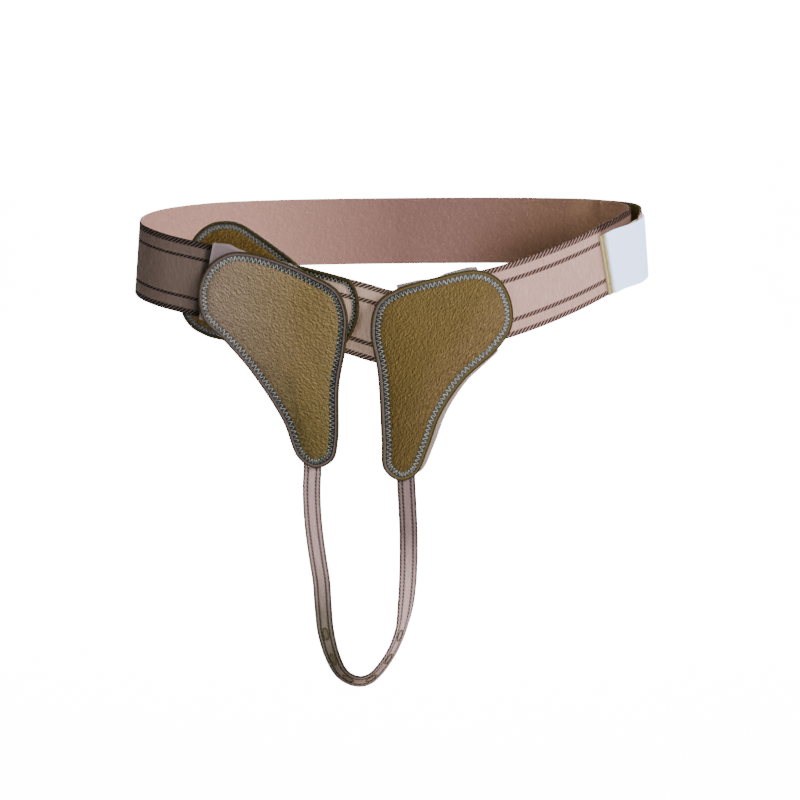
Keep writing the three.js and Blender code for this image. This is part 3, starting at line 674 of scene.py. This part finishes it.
# Painted shade on the strap: over its upper right branch, its lower left and its bottom
def strap_shade(f, base, place):
    upper_right = f.math(
        "MULTIPLY", across(f, place, -225, -190, UPWARD), across(f, place, -30, -10))
    base = f.tone(upper_right, base, (0.42, 0.42, 0.42))
    lower_left = f.math(
        "MULTIPLY", across(f, place, -210, -255, UPWARD), across(f, place, -20, -40))
    base = f.tone(lower_left, base, (0.40, 0.47, 0.39))
    return f.tone(across(f, place, -265, -297, UPWARD), base, (0.56, 0.55, 0.49))


def from_gap(f, place):
    """0 beside the gap between the pads, 1 at their outer sides."""
    value = f.node("ShaderNodeSeparateXYZ", {0: place}).outputs[RIGHT]
    away = f.math("ABSOLUTE", f.math("ADD", value, -PADS_GAP_AT * MM))
    return f.ramp(away, 20 * MM, 80 * MM)


# Painted light on the seam's bed and dark thread: lighter at the pads' outer sides, away from the shade
# beside the gap
def bed_shade(f, base, place):
    return f.mix(f.math("MULTIPLY", from_gap(f, place), 0.6), base, "#6b6663")


def thread_shade(f, base, place):
    """Thread that is worn here and there, with painted shade beside the gap but for its far ends."""
    worn = f.ramp(f.noise(480.0, 2.0, 0.6, place), 0.4, 0.65)
    base = f.mix(f.math("MULTIPLY", worn, 0.75), base, "#4d504b")
    swing, _ = f.uv()
    shaded_stretch = f.ramp(swing, 0.9, 0.55)
    beside_gap = f.math("SUBTRACT", 1.0, from_gap(f, place))
    return f.tone(f.math("MULTIPLY", shaded_stretch, beside_gap), base, (0.4, 0.42, 0.4))


def strip_shade(f, base, place):
    return f.mix(across(f, place, -8, 8), base, "#61532f")


# Painted shadows on the webbing, as rows of (from, to, soft edge, factor) along it: past the tab's start
# at the hip, and beside the left sleeve's end
HIP_SHADOW = (193, 400, 4, (0.31, 0.3, 0.27))
SLEEVE_SHADOW = (-144, -138, 1.5, (0.25, 0.25, 0.25))
WEBBING = striped("webbing", WEBBING_HALF, "#d1a194", "#150b08", webbing_shade, edge=4.2, line_at=14.4,
                  line_half=1.6, pitch=3.0, spread=0.0008, shadows=[HIP_SHADOW, SLEEVE_SHADOW])
STRAP_WEBBING = striped("strap webbing", STRAP_HALF, "#d2b0af", "#140a08", strap_shade, edge=1.8,
                        line_at=3.1, line_half=0.8, pitch=2.8, rim=0.4)

# Leathers: two colours, shade, the creases' slope, the way their painted light falls, then grain and the
# strength of that painted light
LEFT_LEATHER = leather("left pad leather", "#796640", "#4c3e20", left_pad_shade, 38, (0.4, 0, 0.4))
RIGHT_LEATHER = leather("right pad leather", "#66532b", "#3d3013", right_pad_shade, -62, (0.5, 0, -0.2))
FLAP_LEATHER = leather("flap leather", "#634e23", "#35280f", None, -50, (0.5, 0, -0.4))
EDGING = leather("edging leather", "#3d351b", "#211c0d", None, 0, (0.3, 0, 0.5), 500.0, 1.2)

# Cloths and threads: two colours, grain, roughness, bump, then shade
NAP = plain_cloth("webbing nap", "#b58c80", "#a2776a", 1500.0, shade=inner_shade, nap_light=1.0)
PIPING = plain_cloth("mauve strip", "#6f5f5b", "#504444", 1200.0, 0.8, 0.4, strip_shade)
THREAD_BED = plain_cloth("thread bed", "#191c1c", "#0f1212", 1500.0, 0.9, 0.3, bed_shade)
THREAD = plain_cloth("thread", "#cbccc6", "#a3a49e", 3000.0, 0.7, 0.1, thread_shade)
DARK_THREAD = plain_cloth("dark thread", "#434643", "#252826", 3000.0, 0.7, 0.1, bed_shade)
FLAP_THREAD = plain_cloth("flap thread", "#979d96", "#70756f", 3000.0, 0.7, 0.1, thread_shade)
SLEEVE = plain_cloth("sleeve fabric", "#8d7d80", "#6f6165", 2400.0, 0.9, 0.25)
# The sleeves' open ends: a painted shadow
SHADOW = plain_cloth("sleeve opening shadow", "#2a2420", "#1c1815", 2400.0, 0.9, 0.1)
CUSHION = plain_cloth("cushion fabric", "#b09d92", "#978377", 2000.0, 0.95, 0.3)
BUTTONHOLE = plain_cloth("buttonhole stitching", "#50461f", "#352e14", 3000.0, 0.85, 0.3)
SLIT = plain_cloth("slit", "#b5a3a0", "#94847f", 2000.0, 1.0, 0.1, strap_shade)
TAB = plain_cloth("tab fabric", "#f2f6fd", "#e3e9f5", 2600.0, 0.8, 0.15)
HOOKS = hook_cloth()

# The white tab glows a little blue: painted light that makes it brighter and bluer than the lamps alone
# make it
tab_glow = TAB.node_tree.nodes["Principled BSDF"].inputs
tab_glow["Emission Color"].default_value = (0.27, 0.45, 1.0, 1.0)
tab_glow["Emission Strength"].default_value = 2.2


def show(thing, slot, *replaced):
    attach(thing, "root")
    if replaced:
        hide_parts(*replaced)


# Bands

def round_end(inward, length):
    """How much of its full width a rounded end has at some way in from it."""
    share = np.clip(inward / length, 0.004, 1)
    return np.sqrt(1 - (1 - share) ** 2)


def stations(start, end, step, start_round=0.0, end_round=0.0):
    """Places from start to end, closer together where an end is rounded."""
    found = list(np.linspace(start, end, int((end - start) / step) + 1))
    for share in np.linspace(0, 1, 14)[:-1] ** 2:
        if start_round:
            found.append(start + start_round * share)
        if end_round:
            found.append(end - end_round * share)
    found = np.unique(np.round(found, 3))
    return found[np.concatenate([[True], np.diff(found) > 0.05])]


along = stations(HIP_START - LOOP, TIP_AT, BAND_STEP, HIP_CORNER, TIP_NOSE)
nose = round_end(TIP_AT - along, TIP_NOSE)
corner = round_end(along + LOOP - HIP_START, HIP_CORNER)
main = ribbon("main_band_webbing", on_band, along, -WEBBING_HALF * nose,
              WEBBING_HALF * np.minimum(nose, (1 + corner) / 2),
              between(MAIN_OFFSETS, along + LOOP), WEBBING_THICKNESS, [WEBBING, NAP])
show(main, "webbing", "main_band")

along = stations(SHORT_START, HIP_START + HIP_LENGTH, BAND_STEP)
sunk = between([(TIP_AT, -SHORT_SUNK), (SHORT_RISEN_AT, 0.0)], along)
front = ribbon("front_band_webbing", on_band, along, -WEBBING_HALF, WEBBING_HALF, sunk,
               WEBBING_THICKNESS, [WEBBING, NAP])
show(front, "webbing", "front_band")


# Pads: a leather face with a rolled edge, a sewn strip and a zigzag seam, as rows of
# (distance in from the edge, way out, material)

PAD_PROFILE = [
    (0.3, 0.15, 0), (0.0, 0.7, 0), (0.0, 1.6, 0), (0.35, 2.25, 0), (0.9, 2.5, 0), (1.3, 2.3, 0),
    (1.45, 2.1, 1), (1.8, 2.5, 1), (2.4, 2.55, 1), (2.8, 2.25, 1),
    (2.95, 2.1, 2), (4.7, 2.0, 2), (6.7, 2.15, 2),
    (6.95, 2.5, 3), (8.1, 3.1, 3), (10.3, 3.9, 3),
]


for pad, skin in ((LEFT_PAD, LEFT_LEATHER), (RIGHT_PAD, RIGHT_LEATHER)):
    side = pad["name"]
    place = pad_place(pad)
    corners = [(pad["left"] + a * pad["width"], pad["top"] - d * pad["height"])
               for a, d in [pad["heart"]] + pad["outline"]]
    outline = outline_through(corners[1:], PAD_SPOTS)
    face = plate(side + "_pad_leather", outline, corners[0], place, PAD_PROFILE, PAD_CROWN, 0.0,
                 [EDGING, PIPING, THREAD_BED, skin], PAD_RINGS)
    show(face, "pad_leather", side + "_pad_face")
    over = zigzag(side + "_pad_seam", outline, place, PAD_SEAM, THREAD)
    show(over, "pad_leather")
    half_step = PAD_UNDER_SEAM[2] / 2
    under = zigzag(side + "_pad_under_seam", outline, place, PAD_UNDER_SEAM, DARK_THREAD,
                   shift=half_step)
    show(under, "pad_leather")


def soften(node, name, grow=0.0, shift=(0, 0, 0)):
    """A smooth cloth version of a soft CAD solid."""
    data = nodes[node].data.copy()
    data.materials.clear()
    data.materials.append(CUSHION)
    thing = bpy.data.objects.new(name, data)
    bpy.context.scene.collection.objects.link(thing)
    spots = np.zeros(len(data.vertices) * 3)
    data.vertices.foreach_get("co", spots)
    spots = spots.reshape(-1, 3)
    middle = spots.mean(0)
    spots = middle + (spots - middle) * (1 + grow) + np.array(shift) * MM
    data.vertices.foreach_set("co", spots.ravel())
    weld = thing.modifiers.new("weld", "WELD")
    weld.merge_threshold = 0.00005
    smooth = thing.modifiers.new("smooth", "SUBSURF")
    smooth.levels = 2
    smooth.render_levels = 2
    data.polygons.foreach_set("use_smooth", [True] * len(data.polygons))
    return thing


left_cushion = soften("left_pad_cushion", "left_cushion_cloth")
show(left_cushion, "cushion_fabric", "left_pad_cushion")
right_cushion = soften("right_pad_cushion", "right_cushion_cloth", 0.012, (1.5, 0, 0.2))
show(right_cushion, "cushion_fabric", "right_pad_cushion")


# Sleeves round the band

def sleeve_section(rise, out):
    """A rounded outline that reaches rise up and down and out to both sides, as (height, way out)."""
    bend = np.linspace(0.3, 2.84, 7)
    line = [(h, out) for h in np.linspace(-rise + out, rise - out, SLEEVE_ROWS)]
    line += [(rise - out + out * math.sin(a), out * math.cos(a)) for a in bend]
    line += [(h, -out) for h in np.linspace(rise - out, -rise + out, SLEEVE_ROWS)]
    line += [(-rise + out - out * math.sin(a), -out * math.cos(a)) for a in bend]
    return np.array(line)


def sleeve(name, middle, lifts):
    """A loop of cloth; lifts are rows of (place along it, how far its top stands up)."""
    along = np.linspace(middle - SLEEVE_HALF, middle + SLEEVE_HALF, SLEEVE_SPOTS)
    lift = between(lifts, along - middle)[:, None]
    grids = []
    for over_edge, over_face in (SLEEVE_OUTER, SLEEVE_INNER):
        height, out = sleeve_section(WEBBING_HALF + over_edge, over_face).T[:, None]
        grids.append(on_band(along[:, None], height + lift * (height > WEBBING_HALF - 4), out))
    points = np.concatenate([grid.reshape(-1, 3) for grid in grids])
    n, m = grids[0].shape[:2]
    size = n * m
    faces = [f[::-1] for f in strips(n, m, True)]
    faces += [tuple(q + size for q in f) for f in strips(n, m, True)]
    for i, flip in ((0, 1), (n - 1, -1)):
        for j in range(m):
            k = (j + 1) % m
            faces.append((i * m + j, i * m + k, size + i * m + k, size + i * m + j)[::flip])
    # The two open ends take the dark painted shadow inside the sleeve
    index = [0] * (len(faces) - 2 * m) + [1] * 2 * m
    return make(name, points, faces, [SLEEVE, SHADOW], index)


show(sleeve("left_sleeve_cloth", LEFT_PAD["at"], LEFT_LIFTS), "sleeve_fabric", "left_pad_sleeve")
show(sleeve("right_sleeve_cloth", RIGHT_PAD["at"], RIGHT_LIFTS), "sleeve_fabric", "right_pad_sleeve")


# Flap behind the front closure

rows = np.array(FLAP)
flap_at = FLAP_AT + rows[:, 0] * FLAP_LENGTH
top = np.stack([flap_at, rows[:, 2] * FLAP_HEIGHT], -1)
bottom = np.stack([flap_at, rows[:, 1] * FLAP_HEIGHT], -1)[::-1]
flap_outline = outline_through(np.vstack([top, bottom]), FLAP_SPOTS)
FLAP_PROFILE = [
    (0.3, -1.0, 0), (0.0, -0.4, 0), (0.0, 0.5, 0), (0.4, 1.1, 0), (1.1, 1.3, 0), (2.3, 1.2, 0),
    (2.6, 0.8, 1), (3.2, 0.75, 1), (5.9, 0.75, 1), (6.2, 1.1, 2), (7.5, 1.25, 2),
]


def on_flap(s, height, offset):
    return on_band(s, height, np.asarray(offset) - FLAP_SUNK)


flap = plate("flap_leather", flap_outline, FLAP_HEART, on_flap, FLAP_PROFILE, 0.0, -1.2,
             [EDGING, THREAD_BED, FLAP_LEATHER], FLAP_RINGS)
show(flap, "flap_leather", "closure_flap")
show(zigzag("flap_seam", flap_outline, on_flap, FLAP_SEAM, FLAP_THREAD), "flap_leather")


# Edging on the long band's tip, with rows like the pads' own

EDGING_PROFILE = [
    (0.2, 1.15, 0), (0.0, 1.5, 0), (0.3, 2.1, 0), (0.9, 2.35, 0), (1.7, 2.4, 0), (2.4, 2.2, 0),
    (2.6, 1.9, 0), (4.8, 1.7, 1), (5.0, 1.2, 1),
]


def tip_line():
    """The edging's outer edge round the tip, as rows of (place along the band, height)."""
    nose = TIP_AT - TIP_NOSE
    edge = WEBBING_HALF + EDGING_OVER
    run = np.arange(TIP_AT - EDGING_RUN, nose, EDGING_STEP)
    turn = np.linspace(math.pi / 2, -math.pi / 2, NOSE_SPOTS)
    bend = np.stack([nose + (TIP_NOSE + EDGING_OVER) * np.cos(turn), edge * np.sin(turn)], -1)
    upper = np.stack([run, np.full(len(run), edge)], -1)
    lower = np.stack([run[::-1], np.full(len(run), -edge)], -1)
    return np.vstack([upper, bend, lower])


line = tip_line()
rings = []
for distance, height, _ in EDGING_PROFILE:
    ring = inset(line, distance, False)
    rings.append(on_band(ring[:, 0], ring[:, 1], height))
rings.append(rings[0])
kinds = [kind for _, _, kind in EDGING_PROFILE[1:] + EDGING_PROFILE[:1] for _ in line[1:]]
binding = make("tip_edging", rings, strips(len(rings), len(line)), [EDGING, THREAD_BED], kinds)
show(binding, "edging_leather", "tip_binding")
show(zigzag("tip_seam", line, on_band, TIP_SEAM, THREAD, False), "edging_leather")


# White tape and its hooks at the right hip

def tab_offset(s):
    """How far out the tape lies, from the short band up over the long band's end."""
    s = np.asarray(s, float)
    climb = [(TAB_START, 3.2), (TAB_START + 8, 3.4), (HIP_START - 4, HIP_STEP + TAB_ON_MAIN)]
    return np.where(s < HIP_START, between(climb, s), between(MAIN_OFFSETS, s) + TAB_ON_MAIN)


along = stations(TAB_START, TAB_END, TAB_STEP, 0.0, TAB_CORNER)
cut = TAB_CORNER_CUT * (1 - round_end(TAB_END - along, TAB_CORNER))
tab = ribbon("tab_tape", on_band, along, -TAB_FALL + cut, TAB_RISE - cut, tab_offset(along),
             TAB_THICKNESS, [TAB, TAB], TAPE_ROWS)
show(tab, "tab_fabric", "hook_tab")
along = stations(TAB_START - HOOKS_SHOW, HIP_START + HOOKS_END, HOOKS_STEP)
under = between([(HIP_START - 14, 1.4), (HIP_START - 3, 3.9)], along)
hooks = ribbon("hook_tape", on_band, along, -TAB_FALL + HOOKS_NARROWER, TAB_RISE - HOOKS_NARROWER,
               tab_offset(along) - under, HOOKS_THICKNESS, [HOOKS, HOOKS], TAPE_ROWS)
show(hooks, "hook_tape", "hook_layer")


# Strap

def strap_curve():
    """The strap's middle line, with its turn at each row."""
    ends = []
    for pad in (LEFT_PAD, RIGHT_PAD):
        x = pad["left"] + pad["strap"] * pad["width"]
        foot = pad["top"] - pad["height"]
        ends.append([pad_place(pad)(x, foot + rise, -STRAP_SUNK) for rise in STRAP_END_RISES])
    left, right = ends[0], ends[1][::-1]
    hang = []
    for a, drop, _ in STRAP_ROUTE:
        hang.append(left[-1] + (right[0] - left[-1]) * a - UP * drop * STRAP_DROP)
    flat = [0.0] * len(STRAP_END_RISES)
    return np.vstack([left, hang, right]), flat + [turn for _, _, turn in STRAP_ROUTE] + flat


strap_rows, turn_rows = strap_curve()
strap, strap_at = spline(strap_rows, False)
STRAP_LENGTH = strap_at[-1]
turn_at = strap_at[::SPLINE_STEPS]
strap_way = unit(np.gradient(strap, axis=0))
pads_out = [pad_place(LEFT_PAD).out, pad_place(RIGHT_PAD).out]


def on_strap(s, across_it, out_of):
    """The spot at a length along the strap, a way across it and a way out of its face."""
    s, across_it, out_of = np.broadcast_arrays(s, across_it, out_of)
    point = read(strap, strap_at, s)
    way = unit(read(strap_way, strap_at, s))
    share = between([(0.1, 0.0), (0.9, 1.0)], s / STRAP_LENGTH)[..., None]
    facing = pads_out[0] * (1 - share) + pads_out[1] * share
    flat = unit(facing - way * np.sum(facing * way, -1, keepdims=True))
    turn = (STRAP_TURN * np.interp(s, turn_at, turn_rows))[..., None]
    out = flat * np.cos(turn) + np.cross(way, flat) * np.sin(turn)
    side = np.cross(out, way)
    return point + side * across_it[..., None] + out * out_of[..., None]


along = np.linspace(0, STRAP_LENGTH, STRAP_SPOTS)
band = ribbon("strap_webbing", on_strap, along, -STRAP_HALF, STRAP_HALF, 0.0, STRAP_THICKNESS,
              [STRAP_WEBBING, STRAP_WEBBING], STRAP_ROWS)
show(band, "strap_webbing", "groin_strap")

hole_long, hole_wide, hole_over = HOLE
slit_long, slit_wide, slit_over = SLIT_IN_HOLE
turn = np.linspace(0, 2 * math.pi, HOLE_SPOTS, endpoint=False)
for i, at in enumerate(HOLE_PLACES):
    middle = STRAP_LENGTH / 2 + at
    s = middle + hole_long * np.cos(turn)
    aside = hole_wide * np.sin(turn)
    ring = on_strap(s, aside, hole_over)
    above = on_strap(s, aside, hole_over + 1)
    show(tube(f"buttonhole_{i}", ring, unit(above - ring), HOLE_THREAD, BUTTONHOLE), "strap_webbing")
    slit = [on_strap(middle + x, y, slit_over)
            for x in np.linspace(-slit_long, slit_long, 6) for y in (-slit_wide, slit_wide)]
    show(make(f"slit_{i}", slit, strips(6, 2), [SLIT]), "strap_webbing")


# Studio, in metres

LIT_SPOT = (0, 0, -0.1)
WORLD_STRENGTH, BACKDROP_GLOW = 0.265, 13.5
CAMERA_AT, CAMERA_AIM = (0.0065, -1.76067, 0.26224), (0.0065, 0.0, -0.112)
SENSOR, LENS = 36.0, 108.0


def aim(thing, place, target):
    thing.location = place
    thing.rotation_euler = (Vector(target) - Vector(place)).to_track_quat("-Z", "Y").to_euler()
    bpy.context.scene.collection.objects.link(thing)


def lamp(name, place, size, power):
    data = bpy.data.lights.new(name, "AREA")
    data.shape = "RECTANGLE"
    data.size = size
    data.size_y = size
    data.energy = power
    aim(bpy.data.objects.new(name, data), place, LIT_SPOT)


lamp("key", (1.9, -1.7, 1.1), 1.0, 94)
lamp("fill", (-1.5, -2.0, 0.9), 1.4, 12)
lamp("top", (0.0, -0.3, 1.9), 1.6, 14)

world = bpy.data.worlds.new("studio")
world.use_nodes = True
world.node_tree.nodes["Background"].inputs[0].default_value = (1, 1, 1, 1)
world.node_tree.nodes["Background"].inputs[1].default_value = WORLD_STRENGTH
bpy.context.scene.world = world

# A pale sweep as rows of (back, up), lit brightly in the wedge that lies behind the object
FLOOR_AT, FLOOR_START, FLOOR_HALF, WALL_AT, WALL_TOP, BEND = -1.6, -5.0, 6.0, 6.5, 5.0, 1.5
sweep = [(FLOOR_START, FLOOR_AT), (0.5, FLOOR_AT), (WALL_AT - BEND, FLOOR_AT)]
sweep += [(WALL_AT - BEND + BEND * math.sin(a), FLOOR_AT + BEND * (1 - math.cos(a)))
          for a in np.linspace(0.1, math.pi / 2, 14)]
sweep += [(WALL_AT, WALL_TOP)]
points = [(x / MM, y / MM, z / MM) for y, z in sweep for x in (-FLOOR_HALF, FLOOR_HALF)]
backdrop = Finish("floor", "#f6f6f6", 0.9, 0.0)
spot = backdrop.node("ShaderNodeSeparateXYZ", {0: backdrop.place()}).outputs
aside = backdrop.math("DIVIDE", backdrop.math("ABSOLUTE", spot[0]), backdrop.math("ADD", spot[1], 1.9))
wedge = backdrop.math("MULTIPLY", backdrop.ramp(spot[1], 1.2, 2.4), backdrop.ramp(aside, 0.24, 0.19))
backdrop.shader.inputs["Emission Color"].default_value = (1, 1, 1, 1)
backdrop.paint("Emission Strength", backdrop.math("MULTIPLY", wedge, BACKDROP_GLOW))
floor = make("floor", points, strips(len(sweep), 2), [backdrop.material])

camera_data = bpy.data.cameras.new("camera")
camera_data.sensor_width = SENSOR
camera_data.lens = LENS
camera_data.clip_start = 0.05
camera_data.clip_end = 30.0
camera = bpy.data.objects.new("camera", camera_data)
aim(camera, CAMERA_AT, CAMERA_AIM)
bpy.context.scene.camera = camera

bpy.context.view_layer.update()
